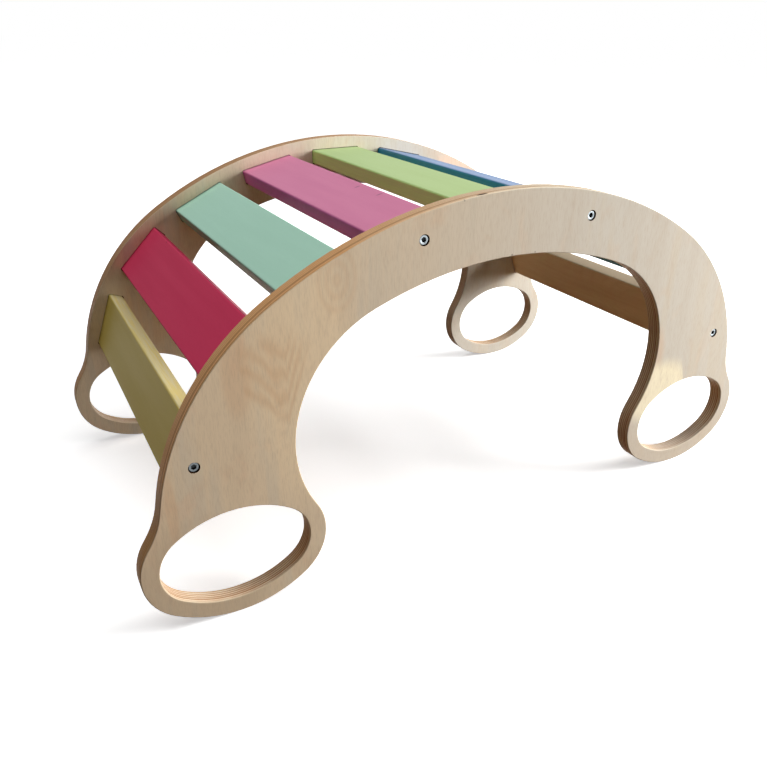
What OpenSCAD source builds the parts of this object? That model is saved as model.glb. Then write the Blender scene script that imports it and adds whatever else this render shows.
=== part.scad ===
// Wooden rocker arch for a child's room: two matching plywood side panels, each a bowed arch on
// two oval ring feet, joined by nine painted slats. It stands on the rings as a climbing arch,
// and turned over it rocks on the crown. Millimetres, X along the length, Y across, Z up. The
// origin is on the floor under the middle.
// All outlines are tangent arcs. The panels are drawn in their own plane, with the drawing's
// second axis up, and slat 1 is the one at the end with the least X.

/* [Overall] */
// Length over the ring feet
overall_length = 796; // [664:1:955]
// Width over the outer faces of the side panels
overall_width = 426; // [355:1:511]
// Height of the crown above the floor
overall_height = 393; // [328:1:472]

/* [Side panels] */
// Thickness of the plywood
panel_t = 18; // [15:0.5:22]
// Radius of the rocking edge over the crown
crown_r = 474; // [395:1:569]
// Most that the rocking edge turns on each side before its shoulders, in degrees. An edge that is
// too long for that runs straight over the middle
crown_turn = 33; // [28:1:39]
// Radius of the shoulders that end the rocking edge
shoulder_r = 260; // [217:1:300]
// How far the shoulders stand in from the ends of the ring feet
shoulder_setback = 23; // [10:1:40]
// Radius of the hollow neck between a shoulder and its ring foot
neck_r = 92; // [77:1:110]
// Depth of the panel under the rocking edge, at the crown
crown_band = 66; // [58:1:79]
// Radius of the underside of the arch, at the crown
arch_r = 414; // [345:1:497]
// Radius of the inner sides of the arch
arch_side_r = 136; // [114:1:163]

/* [Ring feet] */
// Half the length of the oval grip hole
grip_a = 76; // [64:0.5:91]
// Half the height of the oval grip hole
grip_b = 52.5; // [44:0.5:63]
// Radius of the rounded ends of the grip hole
grip_end_r = 42; // [35:0.5:43]
// Width of the ring of plywood round the grip hole
ring_wall = 18; // [15:0.5:22]

/* [Slats] */
// Number of slats, an odd number so that one sits on the crown
slat_count = 9; // [5, 7, 9]
// Width of a slat
slat_w = 70; // [59:1:84]
// Thickness of a slat
slat_t = 18; // [15:0.5:22]
// Radius of the eased edges along a slat
slat_edge_r = 2; // [1:0.5:4]
// Distance from the rocking edge to the middle of a slat
slat_inset = 25; // [21:0.5:30]
// Slope of the first and the last slat, in degrees
end_slope = 70; // [60:1:75]

/* [Slat pockets] */
// Depth of the pockets that the slat ends sit in
pocket_depth = 5; // [4:0.5:6]
// Gap between a slat and the wall of its pocket, all round
pocket_gap = 0.8; // [0.3:0.1:1.5]
// Radius that the cutter leaves in the corners of a pocket
pocket_corner_r = 2.5; // [1.5:0.5:4]

/* [Bolts] */
// Diameter of the bolt shank
bolt_d = 6; // [5:0.5:7]
// Length of the bolt under its head
bolt_length = 30; // [25:1:36]
// Diameter of the bolt head
head_d = 10; // [8.5:0.5:12]
// Height of the bolt head
head_h = 6; // [5:0.5:7]
// Width across the flats of the hexagonal socket
socket_w = 5; // [4:0.5:5]
// Depth of the socket
socket_depth = 3; // [2:0.5:4]
// How far the bolt head lies below the face of the panel
head_recess = 1.2; // [0.5:0.1:2]
// Gap round the bolt head in its counterbore
head_gap = 0.6; // [0.3:0.1:1]
// Gap round the shank in the panel
shank_gap = 0.3; // [0.2:0.1:0.5]

/* [Threaded inserts] */
// Outer diameter of an insert
insert_d = 10; // [8.5:0.5:12]
// Length of an insert
insert_length = 15; // [12:1:18]
// Gap round the shank in the insert, and round the insert in the slat
thread_gap = 0.1; // [0.05:0.05:0.2]
// Free depth drilled past the tip of the bolt
tip_room = 3; // [1:0.5:6]

/* [Hidden] */
slat_names = [for (i = [1:slat_count]) str("slat_", i)];

// Sides of a drawn circle
arc_fn = 180;
small_fn = 48;
// Tangent arcs overlap by this much where they join, so that no gap opens between them
lap = 0.002;
// Cutters run past the faces that they open by this much
past = 1;
// Chamfers on the bolt and the insert
metal_chamfer = 0.6;

plywood = "burlywood";
zinc = "silver";
brass = "goldenrod";
// Yellow, red, mint, pink, pale green, periwinkle blue, orange, teal, and one in bare wood
slat_colors = ["#c8be78", "#96304a", "#9cc0ae", "#c8829e", "#bcd49c", "#93a4c4", "#cc8650", "#2f626e",
    "#c2a67e"];

function flipped(p) = [-p[0], p[1]];
function toward(from, to, d) = from + d * (to - from) / norm(to - from);

// The point at distance d1 from c1 and d2 from c2, on the right of the way from c1 to c2
function meeting(c1, d1, c2, d2) =
    let (
        way = c2 - c1,
        span = norm(way),
        u = way / span,
        a = (d1 * d1 - d2 * d2 + span * span) / (2 * span)
    )
    c1 + a * u + sqrt(d1 * d1 - a * a) * [u[1], -u[0]];

// Ring feet: the grip hole is an oval of four arcs, and the ring follows it at ring_wall
ring_x = overall_length / 2 - ring_wall - grip_a;
ring_z = grip_b + ring_wall;
grip_end_x = grip_a - grip_end_r;
grip_flat_r = (grip_end_x ^ 2 + grip_b ^ 2 - grip_end_r ^ 2) / (2 * (grip_b - grip_end_r));
ring_end_r = grip_end_r + ring_wall;
ring_outer_c = [-ring_x - grip_end_x, ring_z];
ring_inner_c = [-ring_x + grip_end_x, ring_z];

// Rocking edge, with centres for the left half. The straight run over the middle is half its length
shoulder_x = overall_length / 2 - shoulder_setback - shoulder_r;
straight_run = max(0, shoulder_x - (crown_r - shoulder_r) * sin(crown_turn));
crown_angle = asin((shoulder_x - straight_run) / (crown_r - shoulder_r));
crown_c = [-straight_run, overall_height - crown_r];
shoulder_c = crown_c + (crown_r - shoulder_r) * [-sin(crown_angle), cos(crown_angle)];
neck_c = meeting(shoulder_c, shoulder_r + neck_r, ring_outer_c, ring_end_r + neck_r);

// Underside of the arch
arch_c = [0, overall_height - crown_band - arch_r];
arch_side_c = meeting(arch_c, arch_r - arch_side_r, ring_inner_c, ring_end_r + arch_side_r);

// Slats stand at equal steps along a path that runs slat_inset inside the rocking edge
path_crown_r = crown_r - slat_inset;
path_shoulder_r = shoulder_r - slat_inset;
crown_run = straight_run + path_crown_r * crown_angle * PI / 180;
end_run = crown_run + path_shoulder_r * (end_slope - crown_angle) * PI / 180;
slat_step = 2 * end_run / (slat_count - 1);
slat_length = overall_width - 2 * panel_t + 2 * pocket_depth;
middle_slat = (slat_count + 1) / 2;
bolted_slats = [1, middle_slat - 1, middle_slat + 1, slat_count];

// Angle of a slat from the upright, where run is its distance along the path from the middle
function slat_angle(run) =
    abs(run) < crown_run
        ? sign(run) * max(0, abs(run) - straight_run) / path_crown_r * 180 / PI
        : sign(run) * (crown_angle + (abs(run) - crown_run) / path_shoulder_r * 180 / PI);

// Centre of a slat at this distance and angle
function slat_centre(run, angle) =
    abs(run) < straight_run
        ? [run, overall_height - slat_inset]
        : abs(run) < crown_run
            ? [-sign(run) * crown_c[0], crown_c[1]] + path_crown_r * [sin(angle), cos(angle)]
            : [-sign(run) * shoulder_c[0], shoulder_c[1]] + path_shoulder_r * [sin(angle), cos(angle)];

// Bolts: the counterbore leaves a web between its floor and the pocket
inner_face = overall_width / 2 - panel_t;
slat_end = inner_face + pocket_depth;
counterbore_d = head_d + 2 * head_gap;
counterbore_depth = head_recess + head_h;
head_seat = overall_width / 2 - counterbore_depth;
bolt_tip = head_seat - bolt_length;
shank_hole_d = bolt_d + 2 * shank_gap;
insert_bore_d = bolt_d + 2 * thread_gap;
insert_hole_d = insert_d + 2 * thread_gap;

// Draws its children in the plane of a panel and gives them depth toward the front
module plate(depth) {
    rotate([90, 0, 0]) linear_extrude(depth) children();
}

module both_ends() {
    children();
    mirror([1, 0]) children();
}

module disc(centre, radius) {
    translate(centre) circle(radius, $fn = arc_fn);
}

// The part of a disc above p, between the ray from its centre through p and the mirror image of that
// ray. A centre left of the middle gets its mirror image too, with a straight run between the two
module crown_sector(centre, radius, p) {
    far = toward(centre, p, 2 * radius);
    intersection() {
        union() {
            disc(centre, radius);
            if (centre[0] < 0) {
                disc(flipped(centre), radius);
                translate(centre) square([-2 * centre[0], radius]);
            }
        }
        polygon([p, far, [0, far[1] + 2 * radius], flipped(far), flipped(p)]);
    }
}

// The part of a disc between the rays from its centre toward p and toward q
module sector(centre, radius, p, q) {
    intersection() {
        disc(centre, radius);
        polygon([
            centre,
            toward(centre, p, 2 * radius),
            toward(centre, (p + q) / 2, 2 * radius),
            toward(centre, q, 2 * radius)
        ]);
    }
}

// The oval of the grip hole, grown all round
module oval(growth) {
    flat_r = grip_flat_r + growth;
    join_x = grip_end_x * flat_r / (grip_flat_r - grip_end_r);
    intersection() {
        disc([0, grip_b - grip_flat_r], flat_r);
        disc([0, grip_flat_r - grip_b], flat_r);
        square([2 * join_x, 4 * flat_r], center = true);
    }
    for (side = [-1, 1]) disc([side * grip_end_x, 0], grip_end_r + growth + lap);
}

// Crown, shoulders and necks of a panel, less the arch, down to the ring feet
module bow() {
    difference() {
        union() {
            crown_sector(crown_c, crown_r, shoulder_c);
            both_ends() {
                sector(shoulder_c, shoulder_r + lap, [0, overall_height], (neck_c + ring_outer_c) / 2);
                polygon([shoulder_c, neck_c, ring_outer_c, ring_inner_c]);
            }
        }
        both_ends() disc(neck_c, neck_r + lap);
        crown_sector(arch_c, arch_r, arch_side_c);
        both_ends() disc(arch_side_c, arch_side_r + lap);
        polygon([
            arch_side_c,
            ring_inner_c,
            [ring_inner_c[0], -past],
            [-ring_inner_c[0], -past],
            flipped(ring_inner_c),
            flipped(arch_side_c)
        ]);
    }
}

// A bar along Y, centred, with rounded long edges
module rounded_bar(w, t, l, r) {
    cube([w, l, t - 2 * r], center = true);
    cube([w - 2 * r, l, t], center = true);
    for (x = [-1, 1], z = [-1, 1])
        translate([x * (w / 2 - r), 0, z * (t / 2 - r)])
            rotate([90, 0, 0]) cylinder(r = r, h = l, center = true, $fn = small_fn);
}

// Puts its children on the middle line of a slat, turned with it
module at_slat(i) {
    run = (i - middle_slat) * slat_step;
    angle = slat_angle(run);
    c = slat_centre(run, angle);
    translate([c[0], 0, c[1]]) rotate([0, angle, 0]) children();
}

// Puts its children on the axis of each bolt, with Z toward the middle of the arch and the floor
// of the counterbore at zero
module at_front_bolts() {
    for (i = bolted_slats)
        at_slat(i) translate([0, -head_seat, 0]) rotate([-90, 0, 0]) children();
}

module side_panel() {
    difference() {
        union() {
            translate([0, -inner_face, 0]) plate(panel_t) bow();
            for (side = [-1, 1])
                translate([side * ring_x, -inner_face, ring_z]) plate(panel_t) oval(ring_wall);
        }
        for (side = [-1, 1])
            translate([side * ring_x, past - inner_face, ring_z]) plate(panel_t + 2 * past) oval(0);
        for (i = [1:slat_count])
            at_slat(i)
                translate([0, past / 2 - inner_face - pocket_depth / 2, 0])
                    rounded_bar(
                        slat_w + 2 * pocket_gap,
                        slat_t + 2 * pocket_gap,
                        pocket_depth + past,
                        pocket_corner_r
                    );
        at_front_bolts() {
            translate([0, 0, -counterbore_depth - past])
                cylinder(d = counterbore_d, h = counterbore_depth + past, $fn = small_fn);
            cylinder(d = shank_hole_d, h = panel_t, $fn = small_fn);
        }
    }
}

module side_panel_front() {
    color(plywood) side_panel();
}

module side_panel_back() {
    color(plywood) mirror([0, 1, 0]) side_panel();
}

// Holes in one end of a slat, for an insert and for the tip of the bolt past it
module slat_end_holes() {
    translate([0, -slat_end, 0]) rotate([-90, 0, 0]) {
        translate([0, 0, -past]) cylinder(d = insert_hole_d, h = insert_length + past, $fn = small_fn);
        cylinder(d = insert_bore_d, h = slat_end - bolt_tip + tip_room, $fn = small_fn);
    }
}

module slat(i) {
    bolted = len(search(i, bolted_slats)) > 0;
    color(slat_colors[i - 1])
        at_slat(i)
            difference() {
                rounded_bar(slat_w, slat_t, slat_length, slat_edge_r);
                if (bolted) {
                    slat_end_holes();
                    mirror([0, 1, 0]) slat_end_holes();
                }
            }
}

// A socket head cap screw along Z, with the underside of its head at zero
module bolt() {
    r = bolt_d / 2;
    difference() {
        rotate_extrude($fn = small_fn)
            polygon([
                [0, -head_h],
                [head_d / 2 - metal_chamfer, -head_h],
                [head_d / 2, metal_chamfer - head_h],
                [head_d / 2, 0],
                [r, 0],
                [r, bolt_length - metal_chamfer],
                [r - metal_chamfer, bolt_length],
                [0, bolt_length]
            ]);
        translate([0, 0, -head_h - past])
            cylinder(d = socket_w / cos(30), h = socket_depth + past, $fn = 6);
    }
}

module bolts() {
    color(zinc) {
        at_front_bolts() bolt();
        mirror([0, 1, 0]) at_front_bolts() bolt();
    }
}

// A threaded sleeve along Z, flush with the end of its slat at zero
module threaded_insert() {
    bore_r = insert_bore_d / 2;
    rotate_extrude($fn = small_fn)
        polygon([
            [bore_r, 0],
            [insert_d / 2, 0],
            [insert_d / 2, insert_length - metal_chamfer],
            [insert_d / 2 - metal_chamfer, insert_length],
            [bore_r, insert_length]
        ]);
}

module front_inserts() {
    translate([0, 0, head_seat - slat_end]) threaded_insert();
}

module threaded_inserts() {
    color(brass) {
        at_front_bolts() front_inserts();
        mirror([0, 1, 0]) at_front_bolts() front_inserts();
    }
}

side_panel_front();
side_panel_back();
for (i = [1:slat_count]) slat(i);
bolts();
threaded_inserts();
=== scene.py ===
# %% [markdown]
# # A wooden rocker arch
# Two birch plywood side panels carry nine wooden slats, eight of them painted. The arch stands on
# four oval ring feet, and turned over it rocks on its crown. The CAD model gives the exact place
# and size of every piece, so this notebook only adds what CAD leaves out: rounded rims, grain, ply
# layers, paint, wear, a floor and light. All lengths are in metres, X runs along the arch, Y
# across it and Z up.

# %% Load the CAD frame
import bmesh
import bpy
from math import atan2, cos, degrees, pi, radians
from mathutils import Matrix, Vector


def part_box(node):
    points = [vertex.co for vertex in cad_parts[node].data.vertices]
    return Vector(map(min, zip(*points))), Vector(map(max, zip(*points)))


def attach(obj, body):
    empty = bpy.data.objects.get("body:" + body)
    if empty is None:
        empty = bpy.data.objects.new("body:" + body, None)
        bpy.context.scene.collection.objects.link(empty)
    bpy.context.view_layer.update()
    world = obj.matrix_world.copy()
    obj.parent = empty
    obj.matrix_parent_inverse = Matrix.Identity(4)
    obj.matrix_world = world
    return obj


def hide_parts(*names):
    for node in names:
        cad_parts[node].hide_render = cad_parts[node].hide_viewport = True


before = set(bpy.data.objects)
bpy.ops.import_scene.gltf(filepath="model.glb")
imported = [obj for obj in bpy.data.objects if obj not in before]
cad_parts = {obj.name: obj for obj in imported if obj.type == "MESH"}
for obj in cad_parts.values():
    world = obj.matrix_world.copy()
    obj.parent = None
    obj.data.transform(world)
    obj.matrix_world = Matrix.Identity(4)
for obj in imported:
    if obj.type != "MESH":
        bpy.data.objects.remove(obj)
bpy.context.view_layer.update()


def rounded(values, places=4):
    """Numbers cut short for printing."""
    return [round(value, places) for value in values]


# %% [markdown]
# ## Measures of the real pieces
# The slats' places aren't typed in a second time. A slat is a straight board, so the middle of its
# CAD box is its own middle, and the width and height of that box give its slope.

# %% Measures
panel_outer, panel_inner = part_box("side_panel_back")[1].y, 0.195
slat_width, slat_thickness, slat_edge = 0.070, 0.018, 0.002
slat_names = [f"slat_{number}" for number in range(1, 10)]


def slat_place(name):
    """The middle of a slat, and its slope in radians, which is positive on the right."""
    low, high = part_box(name)
    across, up = high.x - low.x - 2 * slat_edge, high.z - low.z - 2 * slat_edge
    w, t = slat_width - 2 * slat_edge, slat_thickness - 2 * slat_edge
    slope = atan2(w * up - t * across, w * across - t * up)
    middle = (low + high) / 2
    return middle, slope if middle.x > 0 else -slope


slats = {name: slat_place(name) for name in slat_names}
for name, (middle, slope) in slats.items():
    print(name, rounded(middle), round(degrees(slope), 1), "degrees")

# %% [markdown]
# ## From a CAD mesh to a piece that can be worked
# A CAD mesh arrives as loose triangles, and bevels need whole faces. So a copy is made, its
# doubled corners are merged and its flat areas are joined again. The CAD object itself is never
# touched: the finished copy stands in for it.

# %% Copies of CAD pieces
def merged_copy(node):
    """A bmesh with the shape of a CAD node, in whole faces."""
    bm = bmesh.new()
    bm.from_mesh(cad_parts[node].data)
    bmesh.ops.remove_doubles(bm, verts=bm.verts, dist=2e-6)
    bmesh.ops.dissolve_limit(bm, angle_limit=radians(0.4), verts=bm.verts, edges=bm.edges)
    return bm


def finished_piece(bm, name, material, stands_for):
    """An object at the origin from a bmesh. Gentle corners are shaded smooth and flat faces flat."""
    mesh = bpy.data.meshes.new(name)
    bm.to_mesh(mesh)
    bm.free()
    mesh.materials.append(material)
    for face in mesh.polygons:
        face.use_smooth = True
    mesh.set_sharp_from_angle(angle=radians(40))
    piece = bpy.data.objects.new(name, mesh)
    bpy.context.scene.collection.objects.link(piece)
    flatten = piece.modifiers.new("flat_faces_stay_flat", "WEIGHTED_NORMAL")
    flatten.keep_sharp = True
    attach(piece, "root")
    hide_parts(stands_for)
    print(name, len(mesh.vertices), "vertices", len(mesh.polygons), "faces")
    return piece


sample = merged_copy("slat_1")
print("slat_1 has", len(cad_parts["slat_1"].data.polygons), "triangles, and merged",
      len(sample.faces), "faces")
sample.free()

# %% [markdown]
# ## Colours
# Colours are written as they look on a screen, from 0 to 255, because that is how a swatch is
# read. Blender's shaders want linear light, so one helper converts them. The other helper makes a
# darker or a lighter neighbour of a colour, for wear and for shade in a hollow.

# %% Colours
def shade(red, green, blue):
    """A screen colour as the linear colour that a shader takes."""
    linear = [c / 12.92 if c <= 0.04045 else ((c + 0.055) / 1.055) ** 2.4
              for c in (value / 255 for value in (red, green, blue))]
    return (*linear, 1.0)


def scaled(colour, factor, lift=0.0):
    """A linear colour made darker or lighter, with its alpha left at 1."""
    return tuple(min(1.0, value * factor + lift) for value in colour[:3]) + (1.0,)


print("a middle grey in linear light", rounded(shade(128, 128, 128)))

# %% [markdown]
# ## A shorter way to write shader nodes
# Each finish is a chain of nodes. These helpers add one node and fill its sockets, from numbers or
# from the sockets of other nodes, so that a chain reads from top to bottom like a recipe.

# %% Node helpers
def add_node(tree, kind, settings=None, sockets=None):
    """Adds a node. sockets maps a socket's name or number to a value or to another socket."""
    node = tree.nodes.new(kind)
    for key, value in (settings or {}).items():
        setattr(node, key, value)
    for key, value in (sockets or {}).items():
        if isinstance(value, bpy.types.NodeSocket):
            tree.links.new(value, node.inputs[key])
        else:
            node.inputs[key].default_value = value
    return node


def maths(tree, operation, *values, clamp=False):
    """One Math node's result."""
    settings = {"operation": operation, "use_clamp": clamp}
    return add_node(tree, "ShaderNodeMath", settings, dict(enumerate(values))).outputs[0]


def times(tree, first, second):
    """Two values multiplied."""
    return maths(tree, "MULTIPLY", first, second)


def vector_maths(tree, operation, *values):
    """One Vector Math node's result. A length leaves by the node's second output."""
    node = add_node(tree, "ShaderNodeVectorMath", {"operation": operation}, dict(enumerate(values)))
    return node.outputs[1 if operation == "LENGTH" else 0]


print("helpers for Math and Vector Math nodes are defined")

# %% [markdown]
# ## Two nodes that do most of the painting
# A finish is mostly colours laid over each other, each by an amount that changes from place to
# place. The amount comes from a range of some value, such as the range of noise that counts as a
# streak. The range has soft ends, because wood and paint have no hard borders.

# %% Blends and ranges
def blend(tree, amount, below, above):
    """Lays one colour over another by an amount."""
    return add_node(tree, "ShaderNodeMix", {"data_type": "RGBA"},
                    {0: amount, 6: below, 7: above}).outputs[2]


def between(tree, value, low, high, out_low=0.0, out_high=1.0):
    """Turns the range low to high of a value into another range, with soft ends."""
    sockets = {0: value, 1: low, 2: high, 3: out_low, 4: out_high}
    return add_node(tree, "ShaderNodeMapRange", {"interpolation_type": "SMOOTHSTEP"},
                    sockets).outputs[0]


print("helpers for Mix and Map Range nodes are defined")

# %% [markdown]
# ## Places and patterns
# Every pattern is laid out on Object coordinates, which are metres in the frame's own axes here,
# because every piece sits at the origin. Noise that is squeezed along one axis comes out long, as
# grain is.

# %% Places and patterns
def object_place(tree):
    """The position on the object, in metres."""
    return add_node(tree, "ShaderNodeTexCoord").outputs["Object"]


def axes(tree, vector):
    """The X, Y and Z of a position."""
    return add_node(tree, "ShaderNodeSeparateXYZ", None, {0: vector}).outputs


def noise(tree, vector, scale, detail=2.0, rough=0.5, distort=0.0):
    """Cloudy noise from 0 to 1."""
    sockets = {"Vector": vector, "Scale": scale, "Detail": detail, "Roughness": rough,
               "Distortion": distort}
    return add_node(tree, "ShaderNodeTexNoise", None, sockets).outputs[0]


def along(tree, vector, factor):
    """A position with its Z scaled, so that a pattern comes out longer along the board."""
    return vector_maths(tree, "MULTIPLY", vector, (1, 1, factor))


def bumps(tree, strength, distance, height):
    """A normal from a height."""
    sockets = {"Strength": strength, "Distance": distance, "Height": height}
    return add_node(tree, "ShaderNodeBump", None, sockets).outputs[0]


print("helpers for places, noise and bumps are defined")

# %% [markdown]
# ## Materials and groups
# A finish always begins with an empty tree and ends in a Principled shader. An effect that several
# finishes share, such as grain, is built once as a node group with named inputs and outputs, so
# that a change to it reaches them all.

# %% Materials and groups
def new_material(name):
    """A material and its node tree, which is still empty."""
    material = bpy.data.materials.new(name)
    material.use_nodes = True
    material.node_tree.nodes.clear()
    return material, material.node_tree


def end_in_surface(tree, sockets):
    """Closes a tree with a Principled shader."""
    surface = add_node(tree, "ShaderNodeBsdfPrincipled", None, sockets)
    add_node(tree, "ShaderNodeOutputMaterial", None, {0: surface.outputs[0]})


def new_group(name, inputs, outputs):
    """An empty shader node group with float or vector inputs and float outputs."""
    group = bpy.data.node_groups.new(name, "ShaderNodeTree")
    for label, kind in inputs:
        group.interface.new_socket(label, in_out="INPUT", socket_type=kind)
    for label in outputs:
        group.interface.new_socket(label, in_out="OUTPUT", socket_type="NodeSocketFloat")
    return group, add_node(group, "NodeGroupInput"), add_node(group, "NodeGroupOutput")


def close_group(group, end, values):
    """Links the values to the group's outputs of the same names."""
    for label, value in values.items():
        group.links.new(value, end.inputs[label])
    print(group.name, "group of", len(group.nodes), "nodes")


def use_group(tree, group, sockets):
    """Places a group in a tree, and gives its outputs by name."""
    return add_node(tree, "ShaderNodeGroup", {"node_tree": group}, sockets).outputs


print("helpers for materials and groups are defined")

# %% [markdown]
# ## Grain
# Birch veneer is peeled off the log in one long sheet. Up close it shows fine pores along the
# trunk, then soft streaks, and over a hand's width the wandering figure of the year rings. Noises
# at different scales make these, and a sine turns the broadest one into rings. A Wave texture
# would be shorter, but it repeats too evenly. The group expects a position whose Z runs along the
# grain.

# %% Grain group
grain, start, end = new_group("wood_grain", [("Position", "NodeSocketVector")],
                              ["Pores", "Streaks", "Figure", "Rings"])
place = start.outputs["Position"]
ring_count = 170.0
wander = noise(grain, along(grain, place, 0.35), 6.5, 1, 0.4, 0.4)
rings = maths(grain, "SINE", times(grain, wander, ring_count))
close_group(grain, end, {
    "Pores": noise(grain, along(grain, place, 0.11), 940, 2, 0.6),
    "Streaks": noise(grain, along(grain, place, 0.08), 45, 3, 0.55, 0.2),
    "Figure": noise(grain, along(grain, place, 0.50), 24, 3, 0.55, 1.2),
    "Rings": maths(grain, "MULTIPLY_ADD", rings, 0.5, 0.5)})

# %% [markdown]
# ## Ply layers
# The panels are glued from thirteen sheets whose grain turns by a right angle each time. On a cut
# edge one sheet shows its long fibres and the next its end grain, which drinks more varnish and
# turns darker, with a thin glue line between. Each edge could be cut into thirteen strips, but a
# pattern that depends only on the depth in the board runs round every curve and hole by itself.

# %% Ply group
ply_count, dark_sheet, waviness = 13, 4.6, 0.012
ply, start, end = new_group("ply_layers", [("Depth", "NodeSocketFloat"),
                                           ("Position", "NodeSocketVector")],
                            ["Dark", "Glue", "Face", "Thin Face", "Line"])
waver = maths(ply, "SUBTRACT", noise(ply, start.outputs["Position"], 40, 2), 0.5)
depth = maths(ply, "MULTIPLY_ADD", waver, waviness, start.outputs["Depth"])
layer = times(ply, depth, float(ply_count))
in_layer = maths(ply, "FRACT", layer)
number = maths(ply, "FLOOR", layer)
# Every second sheet is dark, each by its own chance
chance = add_node(ply, "ShaderNodeTexWhiteNoise", {"noise_dimensions": "1D"}, {"W": number}).outputs[0]
dark = times(ply, maths(ply, "MODULO", number, 2.0), maths(ply, "MULTIPLY_ADD", chance, 0.7, 0.3))
to_glue = maths(ply, "MINIMUM", in_layer, maths(ply, "SUBTRACT", 1.0, in_layer))
to_face = maths(ply, "MINIMUM", layer, maths(ply, "SUBTRACT", float(ply_count), layer))
# One sheet near the outer face is the darkest, as on the real panels
to_dark_sheet = maths(ply, "ABSOLUTE", maths(ply, "SUBTRACT", layer, dark_sheet))
close_group(ply, end, {
    "Dark": dark,
    "Glue": between(ply, to_glue, 0.04, 0.20, 1.0, 0.0),
    "Face": between(ply, to_face, 0.45, 0.75, 1.0, 0.0),
    "Thin Face": between(ply, to_face, 0.15, 0.45, 1.0, 0.0),
    "Line": between(ply, to_dark_sheet, 0.4, 1.0, 1.0, 0.0)})

# %% [markdown]
# ## Marks at their places
# No two sheets of veneer are alike. The real front panel has a few warmer and greyer areas, pin
# knots and a gap in an inner layer. A lighter area high on the left is painted light, and a darker
# left foot and the gap's dark are painted shade. They could be painted on an image, but a soft
# ellipsoid at a place in the frame needs no image and no unwrapping.

# %% Spots on the wood
def spot(tree, vector, centre, radii):
    """1 inside a soft ellipsoid, else 0."""
    moved = vector_maths(tree, "SUBTRACT", vector, centre)
    squeezed = vector_maths(tree, "MULTIPLY", moved, tuple(1 / radius for radius in radii))
    return between(tree, vector_maths(tree, "LENGTH", squeezed), 0.6, 1.1, 1.0, 0.0)


def spots(tree, vector, places):
    """1 inside any of several ellipsoids."""
    total = 0.0
    for centre, radii in places:
        total = maths(tree, "MAXIMUM", total, spot(tree, vector, centre, radii))
    return total


front_face = -panel_outer
warm_figure = [((-0.290, front_face, 0.262), (0.016, 0.02, 0.050)),
               ((-0.361, front_face, 0.140), (0.006, 0.02, 0.045)),
               ((0.232, front_face, 0.165), (0.020, 0.02, 0.045))]
# Painted light: a lighter area high on the left of the front panel
painted_light_on_veneer = [((-0.225, front_face, 0.235), (0.060, 0.02, 0.140))]
# Painted shade: the left foot darker down towards the floor
painted_shade_on_left_foot = [((-0.345, front_face, 0.045), (0.085, 0.02, 0.085))]
rosy_foot = [((0.290, front_face, 0.020), (0.130, 0.02, 0.090))]
# Where a tone lies, how strongly, and its colour. Two of the tones are painted light and shade
veneer_tones_and_light = [(warm_figure, 0.3, shade(220, 176, 134)), (painted_light_on_veneer, 0.5, shade(246, 222, 184)),
                (painted_shade_on_left_foot, 0.5, shade(200, 180, 152)), (rosy_foot, 0.5, shade(206, 190, 168))]
pin_knots = [((-0.059, front_face, 0.3885), (0.0010, 0.003, 0.0012)),
             ((0.0015, front_face, 0.3284), (0.0013, 0.003, 0.0013)),
             ((0.0305, front_face, 0.3275), (0.0011, 0.003, 0.0011))]
ply_gaps = [((-0.0375, front_face + 0.0029, 0.3915), (0.0070, 0.0021, 0.004))]
right_hole_bottom = [((0.325, front_face, 0.012), (0.075, 0.04, 0.030))]
print(len(veneer_tones_and_light), "tones,", len(pin_knots), "pin knots and", len(ply_gaps), "gap")

# %% [markdown]
# ## Flame and oval figure
# Where the peeling knife met a bulge in the log, the year rings come out as a flame of pointed
# lines, and round a hidden knot as nested ovals. Both are sines: one of the height above a slanted
# pair of lines, the other of the distance from a middle. Soft masks fade them into plain veneer.

# %% Flame and oval figure
flame_tan = shade(212, 172, 130)
flame_x, flame_slopes, flame_foot = -0.243, (-0.9, 3.2), (0.194, 0.210)
flame_density, flame_waver, oval_density = 280.0, 0.05, 17.0
# How far the seam beside the flame leans, and the soft ends of its step
flame_lean, flame_seam = 0.115, (-0.2575, -0.2545)
flame_ground = ((-0.258, front_face, 0.240), (0.050, 0.02, 0.062))
oval_middle, oval_radii = (-0.191, front_face, 0.332), (0.022, 1.0, 0.034)


def flame_figure(tree, place, x, z, waver):
    """Pointed year lines in a soft oval ground, cut off by the seam of the next sheet."""
    aside = maths(tree, "SUBTRACT", x, flame_x)
    arms = maths(tree, "MAXIMUM", times(tree, aside, flame_slopes[0]),
                 times(tree, aside, flame_slopes[1]))
    height = maths(tree, "SUBTRACT", z, arms)
    phase = times(tree, maths(tree, "MULTIPLY_ADD", waver, flame_waver, height), flame_density)
    lines = maths(tree, "MULTIPLY_ADD", maths(tree, "SINE", phase), 0.15, 0.27)
    above = between(tree, height, *flame_foot)
    seam = between(tree, maths(tree, "MULTIPLY_ADD", z, flame_lean, x), *flame_seam)
    ground = spot(tree, place, *flame_ground)
    return times(tree, times(tree, above, seam), times(tree, ground, lines))


def oval_figure(tree, place):
    """Faint nested ovals round a hidden knot."""
    moved = vector_maths(tree, "SUBTRACT", place, oval_middle)
    squeezed = vector_maths(tree, "MULTIPLY", moved, tuple(1 / radius for radius in oval_radii))
    away = vector_maths(tree, "LENGTH", squeezed)
    wave = maths(tree, "SINE", times(tree, away, oval_density))
    lines = maths(tree, "MULTIPLY_ADD", wave, 0.10, 0.10)
    return times(tree, lines, between(tree, away, 0.7, 1.3, 1.0, 0.0))


print("flame figure round", flame_ground[0], "and ovals round", oval_middle)
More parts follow.
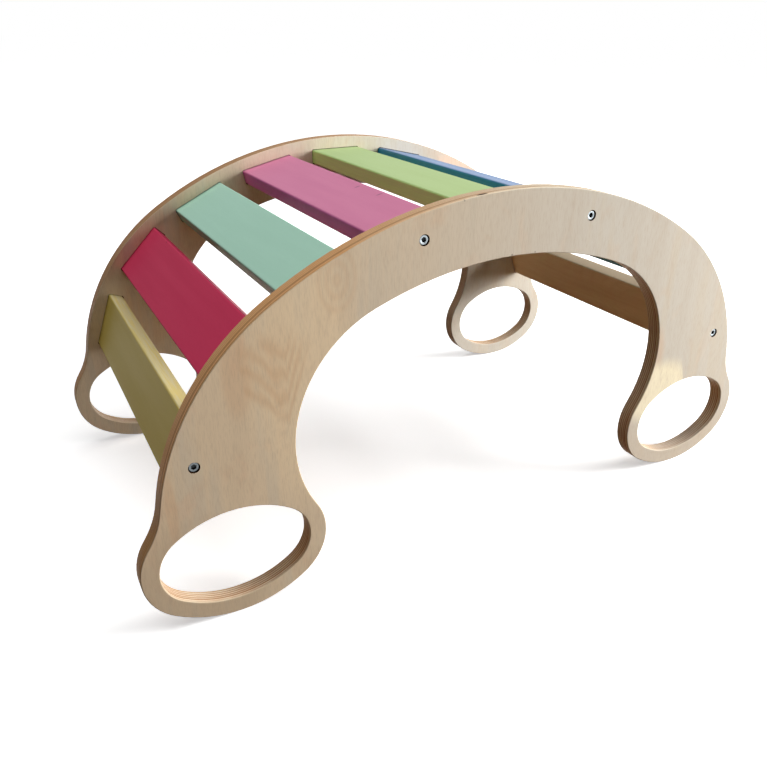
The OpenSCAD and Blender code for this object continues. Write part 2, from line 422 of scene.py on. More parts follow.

# %% [markdown]
# ## The veneer's colour
# The face veneer is warm on the left and turns paler and greyer to the right. Streaks, figure and
# pores from the grain group come over that, and on the front panel a painted patch of light with a
# straight edge lies over the right foot. Each tone is laid over the last one by a mask, because a
# single ramp of colours can't follow so many different things.

# %% Veneer colour
veneer_warm, veneer_pale, veneer_pore = shade(228, 207, 176), shade(210, 204, 191), shade(182, 160, 134)
figure_warm, figure_grey = shade(228, 196, 164), shade(210, 199, 179)
painted_light_patch, painted_light_patch_place = shade(246, 236, 206), ((0.250, front_face, 0.117), (0.064, 0.02, 0.045))
# Painted light: a pale patch of light over the right foot, cut off by a straight, leaning edge
patch_edge_lean, patch_edge = 0.325, (0.334, 0.3365)


def front_marks(tree, place, tone, wood):
    """The marks, painted light and painted shade that only the front panel's veneer has."""
    x, _, z = axes(tree, place)
    for places, share, colour in veneer_tones_and_light:
        tone = blend(tree, times(tree, spots(tree, place, places), share), tone, colour)
    tone = blend(tree, flame_figure(tree, place, x, z, wood["Figure"]), tone, flame_tan)
    tone = blend(tree, oval_figure(tree, place), tone, flame_tan)
    # Painted light: the patch of light reaches up to its straight edge
    seam = between(tree, maths(tree, "MULTIPLY_ADD", z, patch_edge_lean, x), *patch_edge, 1.0, 0.0)
    sheet = times(tree, spot(tree, place, *painted_light_patch_place), seam)
    return blend(tree, sheet, tone, painted_light_patch)


def veneer_colour(tree, place, wood, marked):
    """The colour of a panel's flat faces."""
    x = axes(tree, place)["X"]
    tone = blend(tree, between(tree, x, -0.30, 0.16), veneer_warm, veneer_pale)
    tone = blend(tree, between(tree, wood["Streaks"], 0.50, 0.32, 0.0, 0.5), tone, figure_grey)
    warm_share = between(tree, x, -0.20, 0.10, 0.40, 0.12)
    warm_share = times(tree, between(tree, wood["Figure"], 0.50, 0.68), warm_share)
    tone = blend(tree, warm_share, tone, figure_warm)
    if marked:
        tone = front_marks(tree, place, tone, wood)
    streaked = maths(tree, "ADD", between(tree, wood["Streaks"], 0.45, 0.75, 0.0, 0.12),
                     between(tree, wood["Pores"], 0.42, 0.72, 0.0, 0.23))
    ringed = times(tree, between(tree, wood["Rings"], 0.5, 1.0),
                   between(tree, wood["Figure"], 0.45, 0.65, 0.0, 0.10))
    return blend(tree, maths(tree, "ADD", streaked, ringed), tone, veneer_pore)


print("light sheet of veneer at", painted_light_patch_place[0])

# %% [markdown]
# ## Where an edge is sanded or in shade
# The edges don't look alike all round. The long rocking edge is sanded smooth, and the outer side
# of the left foot gets a painted shade of dark brown, while the rings' holes and the underside still
# look freshly cut. Two masks tell them apart by distance: from the centre of the rocking arc, and
# from the middle of the foot's oval.

# %% Sanded and shaded edges
crown_radius, ring_middle, ring_radii = 0.474, (0.304, 0.0705), (0.094, 0.0705)
crown_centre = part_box("side_panel_back")[1].z - crown_radius
# Soft ends: how far from the arc's centre its edge begins, and the height where a foot ends
near_arc, foot_top = (0.430, 0.445), (0.12, 0.18)


def distance(tree, aside, above):
    """The length of a step to the side and a step up."""
    flat_place = add_node(tree, "ShaderNodeCombineXYZ", None, {0: aside, 1: above}).outputs[0]
    return vector_maths(tree, "LENGTH", flat_place)


def rocking_edge(tree, x, z):
    """1 on the long upper edge, which is sanded smooth, and 0 on the rings and inside the arch."""
    radius = distance(tree, x, maths(tree, "SUBTRACT", z, crown_centre))
    return times(tree, between(tree, radius, *near_arc), between(tree, z, *foot_top))


def outside_of_ring(tree, x, z):
    """1 on the outer side of the left ring foot and its neck, up to where the rocking edge starts."""
    aside = maths(tree, "DIVIDE", maths(tree, "ADD", x, ring_middle[0]), ring_radii[0])
    above = maths(tree, "DIVIDE", maths(tree, "SUBTRACT", z, ring_middle[1]), ring_radii[1])
    left = between(tree, x, -0.345, -0.315, 1.0, 0.0)
    low = between(tree, z, *foot_top, 1.0, 0.0)
    outer = between(tree, distance(tree, aside, above), 0.88, 0.94)
    return times(tree, outer, times(tree, left, low))


print("rocking edge", crown_radius, "m round a centre at a height of", round(crown_centre, 4), "m")

# %% [markdown]
# ## The edge's colour
# The layers from the ply group give the edge its stripes. Sanding pulls them together towards one
# tone, while glue lines and end grain stay darker. The tone is warm on the left and paler on the
# right, as the veneer is.

# %% Layered edge
ply_pale, ply_tan, ply_dark = shade(243, 227, 198), shade(226, 196, 162), shade(178, 122, 80)
glue_line, line_brown = shade(112, 68, 38), shade(150, 92, 50)
sanded_warm, sanded_pale = shade(252, 188, 118), shade(208, 200, 176)


def layered_edge(tree, x, wood, sheets, sanded):
    """Stripes of sheets and glue, softer where the edge is sanded."""
    edge = blend(tree, between(tree, wood["Streaks"], 0.35, 0.75, 0.0, 0.8), ply_pale, ply_tan)
    smooth = blend(tree, between(tree, x, -0.22, 0.05), sanded_warm, sanded_pale)
    edge = blend(tree, times(tree, sanded, 0.8), edge, smooth)
    strong = maths(tree, "MULTIPLY_ADD", sanded, -0.35, 1.0)
    edge = blend(tree, times(tree, sheets["Dark"], strong), edge, ply_dark)
    edge = blend(tree, times(tree, sheets["Glue"], times(tree, strong, 0.5)), edge, glue_line)
    line_share = maths(tree, "MULTIPLY_ADD", sanded, 0.3, 0.2)
    return blend(tree, times(tree, sheets["Line"], line_share), edge, line_brown)


print("sanded edges go from", rounded(sanded_warm, 2), "to", rounded(sanded_pale, 2))

# %% [markdown]
# ## Painted shade, a grey patch and a painted highlight on the edges
# The outer side of the left foot and the back panel's sanded edge get a darker brown, which is
# painted shade, and the right hole is greyer low down. Along the rocking edge a thin line next to
# the face is dark on the left, a glue line, and turns pale on the right, which is a painted
# highlight where the rounded rim catches the lamps. All of it is laid over the layers, so that they
# still shine through.

# %% Shaded, greyed and highlighted edges
# Painted shade: darker browns for the left foot's outer side and the back panel's sanded edge. The grey
# is a greyer tone low in the right hole
left_foot_shade_brown, back_edge_shade_brown, hole_bottom_grey = shade(186, 130, 62), shade(174, 132, 92), shade(172, 160, 148)
# The pale rim colour is a painted highlight, where the rounded rim catches the lamps
rim_depth, rim_highlight = 0.075, shade(255, 236, 206)


def rim_lines(tree, edge, x, depth, sanded):
    """The thin line beside the outer face: a dark glue line on the left, and a painted highlight on the
    right.
    """
    from_line = maths(tree, "ABSOLUTE", maths(tree, "SUBTRACT", depth, rim_depth))
    rim = times(tree, between(tree, from_line, 0.015, 0.04, 1.0, 0.0), sanded)
    dark_rim = times(tree, rim, between(tree, x, -0.28, -0.16, 0.6, 0.0))
    # Painted highlight on the rim towards the right
    rim_painted_highlight = times(tree, rim, between(tree, x, -0.20, -0.08, 0.0, 0.6))
    edge = blend(tree, dark_rim, edge, glue_line)
    return blend(tree, rim_painted_highlight, edge, rim_highlight)


def edge_colour(tree, place, depth, wood, sheets, sanded, outside, marked):
    """The colour of a panel's cut edges. The front is greyer low in one hole, and the back's sanded edge
    has a painted shade of brown.
    """
    x = axes(tree, place)["X"]
    edge = layered_edge(tree, x, wood, sheets, sanded)
    if not marked:
        # Painted shade: the back panel's sanded edge turns darker brown
        edge = blend(tree, times(tree, sanded, 0.85), edge, back_edge_shade_brown)
    # Painted shade: the outer side of the left foot turns darker brown
    edge = blend(tree, times(tree, outside, 0.75), edge, left_foot_shade_brown)
    if marked:
        edge = blend(tree, times(tree, spots(tree, place, right_hole_bottom), 0.6), edge, hole_bottom_grey)
    return rim_lines(tree, edge, x, depth, sanded)


print("the thin line lies", round(rim_depth * (panel_outer - panel_inner) * 1000, 1), "mm deep")

# %% [markdown]
# ## The plywood finish
# One function makes the finish for both panels. It measures the depth from the outer face, and
# puts the layers where the veneer ends. A varnish of uneven gloss lies over both, and the pores
# and glue lines are a little lower than the wood round them.

# %% Plywood material
# Dark of the pin knots, and painted shade inside the gap in a layer
knot_dark_and_gap_shade = shade(38, 20, 12)


def plywood(name, outer, shift, marked):
    """Varnished birch plywood. outer is the Y of the outer face, marked is for the front panel."""
    material, tree = new_material(name)
    place = object_place(tree)
    wood = use_group(tree, grain, {"Position": vector_maths(tree, "ADD", place, shift)})
    x, y, z = axes(tree, place)
    inner = panel_inner if outer > 0 else -panel_inner
    depth = add_node(tree, "ShaderNodeMapRange", None, {0: y, 1: outer, 2: inner}).outputs[0]
    sheets = use_group(tree, ply, {"Depth": depth, "Position": place})
    sanded, outside = rocking_edge(tree, x, z), outside_of_ring(tree, x, z)
    edge = edge_colour(tree, place, depth, wood, sheets, sanded, outside, marked)
    # Sanded edges and the left foot's outer side show the face veneer only as its true thin line
    thinner = maths(tree, "SUBTRACT", sheets["Thin Face"], sheets["Face"])
    worn = maths(tree, "MAXIMUM", sanded, outside)
    face_share = maths(tree, "MULTIPLY_ADD", worn, thinner, sheets["Face"])
    colour = blend(tree, face_share, edge, veneer_colour(tree, place, wood, marked))
    if marked:
        colour = blend(tree, times(tree, spots(tree, place, pin_knots), 0.40), colour, knot_dark_and_gap_shade)
        # The gap is a void in a layer. Its dark is painted shade
        colour = blend(tree, spots(tree, place, ply_gaps), colour, knot_dark_and_gap_shade)
    relief = maths(tree, "ADD", times(tree, wood["Pores"], 0.6), times(tree, sheets["Glue"], -0.8))
    end_in_surface(tree, {"Base Color": colour, "Specular IOR Level": 0.02,
                          "Roughness": maths(tree, "MULTIPLY_ADD", wood["Streaks"], 0.22, 0.34),
                          "Normal": bumps(tree, 0.35, 0.00012, relief)})
    print(name, "has", len(tree.nodes), "nodes")
    return material


plywood_front = plywood("birch_plywood_front", -panel_outer, (0.0, 0.0, 0.0), True)
plywood_back = plywood("birch_plywood_back", panel_outer, (0.7, 0.3, 0.4), False)

# %% [markdown]
# ## Painted shade in the routed gaps
# The slats' pockets and the bolts' counterbores are cut by a router. They lie deep in narrow gaps
# that show as dark lines and rings, so their faces get this second material, a dark brown that is
# painted shade.

# %% Painted shade for routed faces
# Painted shade: dark browns for the faces deep in the gaps, with a little grain
pocket_shade_tan, pocket_shade_dark = shade(78, 54, 36), shade(56, 38, 26)


def routed_shade(name):
    """Painted shade for the faces that a cutter has cut, deep in narrow gaps."""
    material, tree = new_material(name)
    wood = use_group(tree, grain, {"Position": object_place(tree)})
    tone = blend(tree, between(tree, wood["Pores"], 0.40, 0.70), pocket_shade_tan, pocket_shade_dark)
    end_in_surface(tree, {"Base Color": tone, "Roughness": 0.8, "Specular IOR Level": 0.0})
    return material


routed_plywood_shade = routed_shade("birch_plywood_routed")
print("made", routed_plywood_shade.name)

# %% [markdown]
# ## The side panels
# Sandpaper rounds the rims of the panels and of the grip holes, so that no hand meets a sharp
# edge. A Bevel modifier would round every corner alike. Only the edges between a flat face and a
# wall that goes right through the board may be rounded here, so the bevel operator is given just
# those. The rims of the pockets and of the counterbores stay crisp, as the cutter left them.

# %% Rounded rims
rim_radius, rim_segments = 0.0010, 3


def spans_board(face):
    """True for a wall that runs through the whole thickness of a panel."""
    ys = [abs(vert.co.y) for vert in face.verts]
    return abs(face.normal.y) < 0.5 and max(ys) - min(ys) > 0.9 * (panel_outer - panel_inner)


def round_rims(bm):
    """Rounds each edge where a flat face meets a wall that spans the board."""
    rims = [edge for edge in bm.edges if len(edge.link_faces) == 2
            and any(spans_board(face) for face in edge.link_faces)
            and any(abs(face.normal.y) > 0.9 for face in edge.link_faces)]
    bmesh.ops.bevel(bm, geom=rims, offset=rim_radius, offset_type="OFFSET", segments=rim_segments,
                    profile=0.5, affect="EDGES", material=-1, clamp_overlap=True)
    return len(rims)


print("rims will be rounded by", rim_radius * 1000, "mm")

# %% [markdown]
# ## Which faces are routed
# The painted shade belongs on the walls and floors of pockets and counterbores. Nobody has to
# pick them by hand, because their measures tell: a pocket's deepest corner lies at the pocket's
# depth, and a counterbore's corners lie within its radius of a bolt.

# %% Routed faces
pocket_depth, counterbore_radius, close_to = 0.005, 0.0056, 1e-4
bolted = ["slat_1", "slat_4", "slat_6", "slat_9"]
bolt_middles = [slats[name][0] for name in bolted]


def in_pocket(face):
    """True for the walls and the floor of a slat's pocket."""
    ys = [abs(vert.co.y) for vert in face.verts]
    return min(ys) > panel_inner - 1e-5 and abs(max(ys) - panel_inner - pocket_depth) < 1e-5


def in_counterbore(face):
    """True for the walls and the floor of a bolt's counterbore and of the hole behind it."""
    if min(abs(vert.co.y) for vert in face.verts) > panel_outer - close_to:
        return False
    reach = [max((vert.co.xz - middle.xz).length for vert in face.verts) for middle in bolt_middles]
    return min(reach) < counterbore_radius + close_to


print("bolts at", [rounded(middle) for middle in bolt_middles])

# %% [markdown]
# ## Both panels
# The two panels are the same board, turned round, and differ only in their finish. The rims are
# rounded first. Then the routed faces are marked, and the second material is added.

# %% Both side panels
for name, material, node in (("side_panel_near", plywood_front, "side_panel_front"),
                             ("side_panel_far", plywood_back, "side_panel_back")):
    bm = merged_copy(node)
    print(name, round_rims(bm), "rim edges rounded")
    routed = [face for face in bm.faces if in_pocket(face) or in_counterbore(face)]
    for face in routed:
        face.material_index = 1
    print(name, len(routed), "routed faces")
    panel = finished_piece(bm, name, material, node)
    panel.data.materials.append(routed_plywood_shade)

# %% [markdown]
# ## Wear of the paint
# Paint is thin on the eased corners, where hands and feet rub it and now and then chip it, and the
# flat sides have a few pale scuffs. The corners are also a little lighter, partly from that wear and
# partly as a painted highlight. The narrow sides get a tint of their own, which is painted shade and
# painted bounce light. The group finds corners and narrow sides from a board's own measures, so one
# group serves all the slats.

# %% Wear group
wear, start, end = new_group("paint_wear", [("Position", "NodeSocketVector"),
                                            ("Half Width", "NodeSocketFloat"),
                                            ("Half Thickness", "NodeSocketFloat")],
                             ["Corner", "Chip", "Scuff", "Narrow"])
place = start.outputs["Position"]
across, through, _ = axes(wear, place)
from_side = maths(wear, "SUBTRACT", start.outputs["Half Width"], maths(wear, "ABSOLUTE", across))
from_face = maths(wear, "SUBTRACT", start.outputs["Half Thickness"], maths(wear, "ABSOLUTE", through))
corner = between(wear, maths(wear, "ADD", from_side, from_face), 0.0004, 0.0022, 1.0, 0.0)
patchy = noise(wear, place, 90, 4, 0.65)
scratches = noise(wear, along(wear, place, 0.25), 160, 3, 0.7, 0.6)
rare = between(wear, noise(wear, place, 14, 2), 0.60, 0.70)
close_group(wear, end, {
    "Corner": corner,
    "Chip": times(wear, corner, between(wear, patchy, 0.73, 0.77)),
    "Scuff": times(wear, between(wear, scratches, 0.66, 0.74), rare),
    "Narrow": between(wear, from_side, 0.0003, 0.0012, 1.0, 0.0)})

# %% [markdown]
# ## A board's own directions
# Grain has to run along each board, and the boards all slope differently. A Mapping node moves the
# board's middle to the origin and turns the board level, and then the axes are swapped, because
# the grain group wants the board's length as Z.

# %% A board's own directions
def board_position(tree, middle, slope):
    """The board's own position: X across it, Y through it and Z along it."""
    sockets = {"Vector": object_place(tree), "Location": tuple(middle), "Rotation": (0.0, slope, 0.0)}
    level = add_node(tree, "ShaderNodeMapping", {"vector_type": "TEXTURE"}, sockets).outputs[0]
    across, length, through = axes(tree, level)
    return add_node(tree, "ShaderNodeCombineXYZ", None, {0: across, 1: through, 2: length}).outputs[0]


def board_wear(tree, place):
    """The wear group with a slat's measures."""
    return use_group(tree, wear, {"Position": place, "Half Width": slat_width / 2,
                                  "Half Thickness": slat_thickness / 2})


print("slats are", slat_width, "by", slat_thickness, "m, with edges eased by", slat_edge, "m")

# %% [markdown]
# ## Brushed paint
# The slats are planed boards with a brushed satin paint, and the grain still shows through a
# little. The finish begins with two near tones in the streaks and pores, then adds the painted shade
# and bounce light of the narrow sides in brush-like lines, and the wear last, with a painted
# highlight on the corners. Chips show bare wood.

# %% Paint material
bare_pine, bare_pine_dark = shade(250, 221, 181), shade(232, 198, 154)


def brushed_paint(name, middle, slope, colour, deeper, gloss, narrow_side_tint, marks):
    """Satin paint on a board. narrow_side_tint is its narrow sides' tint, mostly painted light: a colour
    and its least and most share.
    """
    material, tree = new_material(name)
    place = board_position(tree, middle, slope)
    shifted = vector_maths(tree, "ADD", place, (middle.x * 7, 0.0, middle.z * 3))
    wood, worn = use_group(tree, grain, {"Position": shifted}), board_wear(tree, place)
    tone = blend(tree, between(tree, wood["Streaks"], 0.40, 0.70, 0.0, 0.5), colour, deeper)
    tone = blend(tree, between(tree, wood["Pores"], 0.50, 0.75, 0.0, 0.3), tone, deeper)
    side_light_tint, least, most = narrow_side_tint
    brush_lines = noise(tree, along(tree, place, 0.04), 480, 2, 0.6)
    uneven = between(tree, brush_lines, 0.38, 0.62, least, most)
    # Painted shade and bounce light on the narrow sides, in brush-like lines
    tone = blend(tree, times(tree, worn["Narrow"], uneven), tone, side_light_tint)
    lighter = scaled(colour, 1.25, 0.05)
    # Corners a little lighter: partly paint rubbed thin, partly a painted highlight
    tone = blend(tree, times(tree, worn["Corner"], 0.06), tone, lighter)
    tone = blend(tree, times(tree, worn["Scuff"], 0.25), tone, lighter)
    if marks:
        rubbed = times(tree, spots(tree, object_place(tree), marks), 0.45)
        tone = blend(tree, rubbed, tone, scaled(deeper, 0.3))
    tone = blend(tree, worn["Chip"], tone, bare_pine)
    rough = maths(tree, "MULTIPLY_ADD", wood["Streaks"], 0.16, 0.30)
    rough = maths(tree, "ADD", rough, times(tree, worn["Scuff"], 0.15), clamp=True)
    relief = maths(tree, "ADD", wood["Pores"], times(tree, worn["Chip"], -2.0))
    end_in_surface(tree, {"Base Color": tone, "Roughness": rough, "Specular IOR Level": gloss,
                          "Normal": bumps(tree, 0.25, 0.0001, relief)})
    return material


print("chips show", rounded(bare_pine, 3))

# %% [markdown]
# ## Oiled wood
# One slat has no paint, only a thin oil. The same grain group makes it, with stronger streaks and
# rings, and its narrow sides are a little greyer.

# %% Oiled board
greyed_side = shade(206, 184, 158)


def oiled_board(name, middle, slope):
    """Bare wood with a thin oil, for the one slat that has no paint."""
    material, tree = new_material(name)
    place = board_position(tree, middle, slope)
    wood, worn = use_group(tree, grain, {"Position": place}), board_wear(tree, place)
    tone = blend(tree, between(tree, wood["Streaks"], 0.35, 0.75, 0.0, 0.8), bare_pine, bare_pine_dark)
    tone = blend(tree, between(tree, wood["Pores"], 0.50, 0.80, 0.0, 0.5), tone, bare_pine_dark)
    tone = blend(tree, between(tree, wood["Rings"], 0.6, 1.0, 0.0, 0.15), tone, bare_pine_dark)
    tone = blend(tree, times(tree, worn["Narrow"], 0.9), tone, greyed_side)
    end_in_surface(tree, {"Base Color": tone, "Specular IOR Level": 0.02,
                          "Roughness": maths(tree, "MULTIPLY_ADD", wood["Streaks"], 0.2, 0.45),
                          "Normal": bumps(tree, 0.3, 0.00012, wood["Pores"])})
    return material


print("oiled narrow sides are", rounded(greyed_side, 3))

# %% [markdown]
# ## The slats
# The CAD slats already have their eased corners and the holes in their ends for the bolts, so
# each visible slat is a copy of its CAD shape. What it gains are the whole faces that smooth
# shading needs, and its own coat of paint. Two of them have small dark handling marks.

# %% Slats
# Slot, colour, the deeper colour in the grain, and the gloss. Few things shine on this toy
paints = {
    "slat_1": ("paint_yellow", shade(225, 202, 108), shade(216, 192, 97), 0.02),
    "slat_2": ("paint_red", shade(237, 73, 112), shade(226, 64, 103), 0.01),
    "slat_3": ("paint_mint", shade(198, 244, 222), shade(190, 237, 214), 0.01),
    "slat_4": ("paint_pink", shade(231, 145, 180), shade(222, 135, 171), 0.01),
    "slat_5": ("paint_green", shade(180, 203, 144), shade(172, 195, 135), 0.01),
    "slat_6": ("paint_blue", shade(99, 127, 166), shade(91, 119, 158), 0.18),
    "slat_7": ("paint_orange", shade(214, 142, 92), shade(204, 130, 80), 0.01),
    "slat_8": ("paint_teal", shade(84, 138, 146), shade(76, 130, 138), 0.01),
}
# The narrow sides' tints are painted shade and painted bounce light, and on the yellow slat partly
# paint worn thin. Colour, and the least and the most of it
narrow_side_light_tints = {
    "slat_1": (shade(216, 212, 188), 0.25, 0.60),
    "slat_2": (shade(150, 30, 60), 0.60, 0.80),
    "slat_3": (shade(170, 235, 210), 0.42, 0.58),
    "slat_4": (shade(255, 124, 202), 0.70, 0.90),
    "slat_5": (shade(206, 255, 150), 0.84, 0.96),
    "slat_6": (shade(12, 112, 156), 0.84, 0.96),
}
even_side = (shade(240, 222, 190), 0.02, 0.06)
handling_marks = {
    "slat_2": [((-0.2649, 0.1220, 0.2948), (0.0014, 0.0014, 0.0014))],
    "slat_4": [((-0.0788, -0.0309, 0.3706), (0.0042, 0.0018, 0.004)),
               ((-0.0769, -0.0797, 0.3710), (0.0048, 0.0018, 0.004))],
}
for name, (middle, slope) in slats.items():
    if name in paints:
        slot, colour, deeper, gloss = paints[name]
        coat = brushed_paint(slot, middle, slope, colour, deeper, gloss,
                             narrow_side_light_tints.get(name, even_side), handling_marks.get(name))
    else:
        slot, coat = "bare_wood", oiled_board("bare_wood", middle, slope)
    finished_piece(merged_copy(name), f"board_{name[-1]}", coat, name)

# %% [markdown]
# ## Metal
# The screws are zinc plated and the inserts in the slats are brass. Plating isn't one flat grey:
# faint marks vary its tone and gloss. The screws on the left are painted darker, as painted shade.
# Shade is painted into the sockets too: all that lies deeper than the heads' faces is darkened.
# That takes in the heads' lower sides, the shanks and the inserts too, whose brass turns a dark
# brown, and it passes only because the wood hides them. The inserts keep their CAD shape.

# %% Metal finishes
zinc, brass = shade(146, 154, 158), shade(196, 160, 92)
head_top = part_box("bolts")[1].y
# Depths below the heads' faces where the hollow's painted shade starts and is darkest,
# and what it leaves of a tone
hollow_start, hollow_full, hollow_shade_share = 0.0004, 0.0012, 0.12


def worn_metal(name, colour, rough):
    """Metal with faint handling marks, and painted shade on the left and below the heads' faces."""
    material, tree = new_material(name)
    place = object_place(tree)
    x, y, _ = axes(tree, place)
    marks = noise(tree, place, 1800, 3, 0.6)
    tone = blend(tree, between(tree, marks, 0.45, 0.75, 0.0, 0.35), colour, scaled(colour, 0.6))
    # Painted shade: the screws turn darker towards the left
    left_painted_shade = between(tree, x, -0.34, -0.05, 0.75, 0.0)
    tone = blend(tree, left_painted_shade, tone, scaled(colour, 0.3))
    depth = maths(tree, "ABSOLUTE", y)
    # Painted shade in the sockets and on all that lies below the heads' faces
    socket_painted_shade = between(tree, depth, head_top - hollow_full, head_top - hollow_start, 1.0, 0.0)
    tone = blend(tree, socket_painted_shade, tone, scaled(colour, hollow_shade_share))
    end_in_surface(tree, {"Base Color": tone, "Metallic": 1.0,
                          "Roughness": maths(tree, "MULTIPLY_ADD", marks, 0.2, rough)})
    return material


zinc_steel = worn_metal("zinc_steel", zinc, 0.28)
insert_brass = worn_metal("insert_brass", brass, 0.30)
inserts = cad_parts["threaded_inserts"]
inserts.data.materials.clear()
inserts.data.materials.append(insert_brass)
print("the screw heads end at", round(head_top, 4), "m from the middle")

# %% [markdown]
# ## A screw's outline
# Eight socket head screws hold the slats. All that is round about a screw is in one outline: the
# rim of its socket, the head's soft shoulder, the neck, the thread and the tip. The thread is a row
# of rings rather than a helix, because it is hidden in the wood.

# %% A screw's outline
head_radius, head_height, shank_radius, shank_length = 0.005, 0.006, 0.003, 0.030
thread_start, thread_pitch, thread_depth, tip = 0.004, 0.001, 0.0004, 0.0006
# Radius and height, from the rim of the socket round the head's softened shoulder
crown_outline = [(0.0033, 0.0), (0.0043, 0.0), (0.0047, -0.0002), (head_radius, -0.0006)]


def screw_outline():
    """Half of a screw's outline, from the rim of its socket down to the middle of its tip."""
    outline = crown_outline + [(head_radius, -head_height), (shank_radius, -head_height)]
    depth, end = head_height + thread_start, head_height + shank_length
    while depth < end - tip:
        outline.append((shank_radius, -depth))
        outline.append((shank_radius - thread_depth, -depth - thread_pitch / 2))
        depth += thread_pitch
    return outline + [(shank_radius - tip, -end), (0.0, -end)]


print("a screw's outline has", len(screw_outline()), "points")

# %% [markdown]
# ## One screw
# The outline is spun about the screw's axis. The socket isn't round, so a hexagon is split into as
# many sides as the spin has, and a bridge joins the two loops into a small chamfer. Its walls are
# extruded down and closed. A boolean cut would be shorter, but it leaves long thin faces on the
# head.

# %% One screw
socket_radius, socket_depth, socket_chamfer, drill_point = 0.0025 / cos(pi / 6), 0.003, 0.0003, 0.0005
turn_steps = 48


def socket_screw():
    """A socket head screw along Z, the top of its head at the origin and its shank below."""
    bm = bmesh.new()
    verts = [bm.verts.new((x, 0.0, z)) for x, z in screw_outline()]
    edges = [bm.edges.new(pair) for pair in zip(verts, verts[1:])]
    bmesh.ops.spin(bm, geom=verts + edges, cent=(0, 0, 0), axis=(0, 0, 1), angle=2 * pi,
                   steps=turn_steps, use_merge=True)
    bmesh.ops.remove_doubles(bm, verts=bm.verts, dist=1e-6)
    rim = [edge for edge in bm.edges if edge.is_boundary]
    hexagon = bmesh.ops.create_circle(bm, segments=6, radius=socket_radius)["verts"]
    sides = list({edge for vert in hexagon for edge in vert.link_edges})
    bmesh.ops.subdivide_edges(bm, edges=sides, cuts=turn_steps // 6 - 1)
    mouth = [edge for edge in bm.edges if edge.is_wire]
    mouth_verts = list({vert for edge in mouth for vert in edge.verts})
    bmesh.ops.translate(bm, vec=(0, 0, -socket_chamfer), verts=mouth_verts)
    bmesh.ops.bridge_loops(bm, edges=rim + mouth)
    walls = bmesh.ops.extrude_edge_only(bm, edges=mouth)["geom"]
    bottom = [item for item in walls if isinstance(item, bmesh.types.BMVert)]
    bmesh.ops.translate(bm, vec=(0, 0, socket_chamfer - socket_depth), verts=bottom)
    bmesh.ops.contextual_create(bm, geom=[edge for edge in bm.edges if edge.is_boundary])
    floor_face = [face for face in bm.faces if len(face.verts) == turn_steps]
    bmesh.ops.poke(bm, faces=floor_face, offset=-drill_point, center_mode="MEAN")
    bmesh.ops.recalc_face_normals(bm, faces=bm.faces)
    return bm


sample = socket_screw()
print("one screw has", len(sample.faces), "faces")
sample.free()

# %% [markdown]
# ## All eight screws
# A bolt stands square on a slat's end, in the middle of it. The head's top lies where the CAD
# bolt's does, and each screw is turned a little differently, as a hand would leave it. All eight
# become one mesh, because they stand for one CAD node.

# %% All eight screws
one_screw = bpy.data.meshes.new("one_screw")
screws = bmesh.new()
for number, middle in enumerate(bolt_middles):
    for side in (-1, 1):
        screw = socket_screw()
        stand = Matrix.Translation((middle.x, side * head_top, middle.z))
        lay = Matrix.Rotation(-side * pi / 2, 4, "X")
        turn = Matrix.Rotation(radians(17 * number + 8 * side), 4, "Z")
        bmesh.ops.transform(screw, matrix=stand @ lay @ turn, verts=screw.verts)
        screw.to_mesh(one_screw)
        screw.free()
        screws.from_mesh(one_screw)
bpy.data.meshes.remove(one_screw)
finished_piece(screws, "socket_screws", zinc_steel, "bolts")

# %% [markdown]
# ## Floor
# The floor is a plain white surface, which the camera, mirrors and glass see bright. Light that
# bounces off it is dimmer and warmer, as off an ordinary room's floor, so the underside of the
# arch stays dark as in the real room. A glow that only the camera, mirrors and glass see keeps the
# white even. It is weaker near the arch, so that the arch's shadow stays on the floor.

# %% Floor
bounce_tan, white = shade(116, 91, 68), shade(255, 255, 255)
floor_reach, glow_start, glow_full = 30, 0.35, 1.3


def seen_directly(tree):
    """1 for what the camera, mirrors and glass see, and 0 for light on its way to a surface."""
    path = add_node(tree, "ShaderNodeLightPath").outputs
    seen = maths(tree, "ADD", path["Is Camera Ray"], path["Is Glossy Ray"])
    return maths(tree, "ADD", seen, path["Is Transmission Ray"], clamp=True)


def studio_floor():
    """A wide white floor under the arch, which isn't part of it."""
    bm = bmesh.new()
    bmesh.ops.create_grid(bm, x_segments=1, y_segments=1, size=floor_reach)
    mesh = bpy.data.meshes.new("floor")
    bm.to_mesh(mesh)
    bm.free()
    floor = bpy.data.objects.new("floor", mesh)
    bpy.context.scene.collection.objects.link(floor)
    material, tree = new_material("floor_white")
    seen = seen_directly(tree)
    flat = add_node(tree, "ShaderNodeBsdfDiffuse", None, {"Color": blend(tree, seen, bounce_tan, white)})
    away = vector_maths(tree, "LENGTH", object_place(tree))
    level = times(tree, seen, between(tree, away, glow_start, glow_full, 0.50, 1.0))
    glow = add_node(tree, "ShaderNodeEmission", None, {"Color": white, "Strength": level})
    both = add_node(tree, "ShaderNodeAddShader", None, {0: flat.outputs[0], 1: glow.outputs[0]})
    add_node(tree, "ShaderNodeOutputMaterial", None, {0: both.outputs[0]})
    mesh.materials.append(material)
    print("floor of", 2 * floor_reach, "m")


studio_floor()

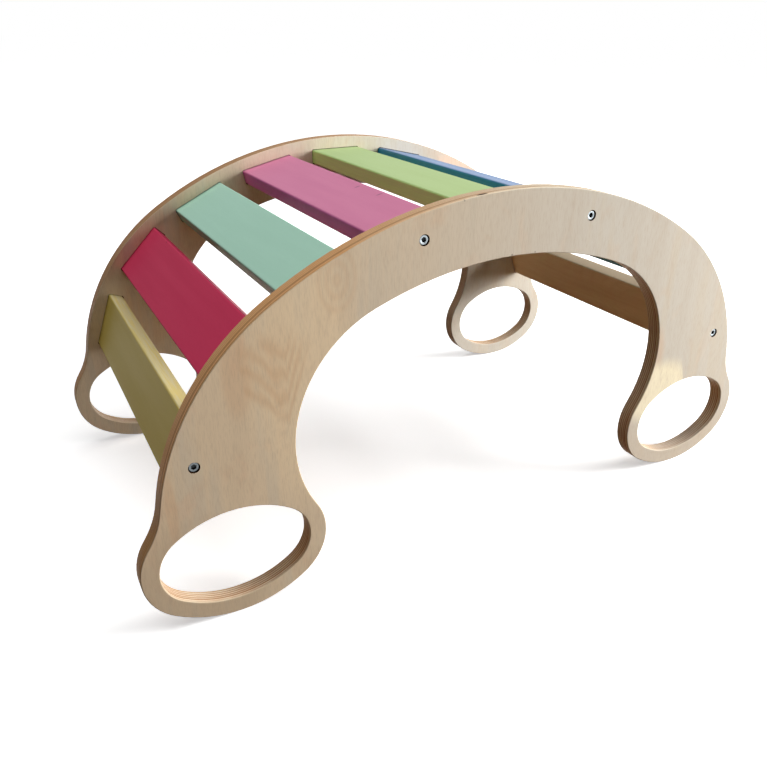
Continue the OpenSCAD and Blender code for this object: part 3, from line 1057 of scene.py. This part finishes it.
# %% [markdown]
# ## Light
# Two soft lamps stand on the right, one above the other, like a tall window, and a wide one hangs
# overhead like a pale ceiling. They give the arch its bright right side and its dark left edges,
# as in the photograph. The world throws no light on wood or paint, and is white only where the
# camera, mirrors and glass see it.

# %% World and lamps
world = bpy.data.worlds.new("room")
bpy.context.scene.world = world
world.use_nodes = True
tree = world.node_tree
tree.nodes.clear()
sky = add_node(tree, "ShaderNodeBackground", None, {"Color": white, "Strength": seen_directly(tree)})
add_node(tree, "ShaderNodeOutputWorld", None, {0: sky.outputs[0]})


def soft_lamp(name, place, target, size, watts):
    """A square area lamp that faces a target."""
    lamp = bpy.data.lights.new(name, "AREA")
    lamp.shape, lamp.size, lamp.energy = "SQUARE", size, watts
    holder = bpy.data.objects.new(name, lamp)
    bpy.context.scene.collection.objects.link(holder)
    toward = Vector(target) - Vector(place)
    holder.matrix_world = (Matrix.Translation(place)
                           @ toward.to_track_quat("-Z", "Y").to_matrix().to_4x4())
    print(name, watts, "W at", place)


arch_middle = (0.0, 0.0, 0.20)
soft_lamp("window_low", (2.0, -1.0, 0.5), arch_middle, 1.1, 40.5)
soft_lamp("window_high", (2.0, -1.0, 1.0), arch_middle, 1.1, 61)
soft_lamp("ceiling", (0.0, 0.0, 2.40), arch_middle, 2.6, 40)

# %% [markdown]
# ## Camera
# The camera's place and turn come from matching the CAD model's outlines to the photograph. It
# stands about half a metre above the floor, in front of the arch and to its left, and looks down
# at it. The lens's small shift does what cropping the photograph did.

# %% Camera
camera_place = Vector((-0.4516, -0.7785, 0.5376))
camera_right = Vector((0.883544, -0.468347, -0.001161))
camera_up = Vector((0.208163, 0.39048, 0.896768))
lens = bpy.data.cameras.new("camera")
lens.sensor_width, lens.lens = 36.0, 34.45
lens.shift_x, lens.shift_y = 0.0100, -0.0007
camera = bpy.data.objects.new("camera", lens)
bpy.context.scene.collection.objects.link(camera)
camera_back = camera_right.cross(camera_up)
turned = Matrix((camera_right, camera_up, camera_back)).transposed().to_4x4()
camera.matrix_world = Matrix.Translation(camera_place) @ turned
bpy.context.scene.camera = camera
bpy.context.scene.view_settings.view_transform = "Standard"
print("camera at", rounded(camera_place, 3), "with a lens of", lens.lens, "mm")
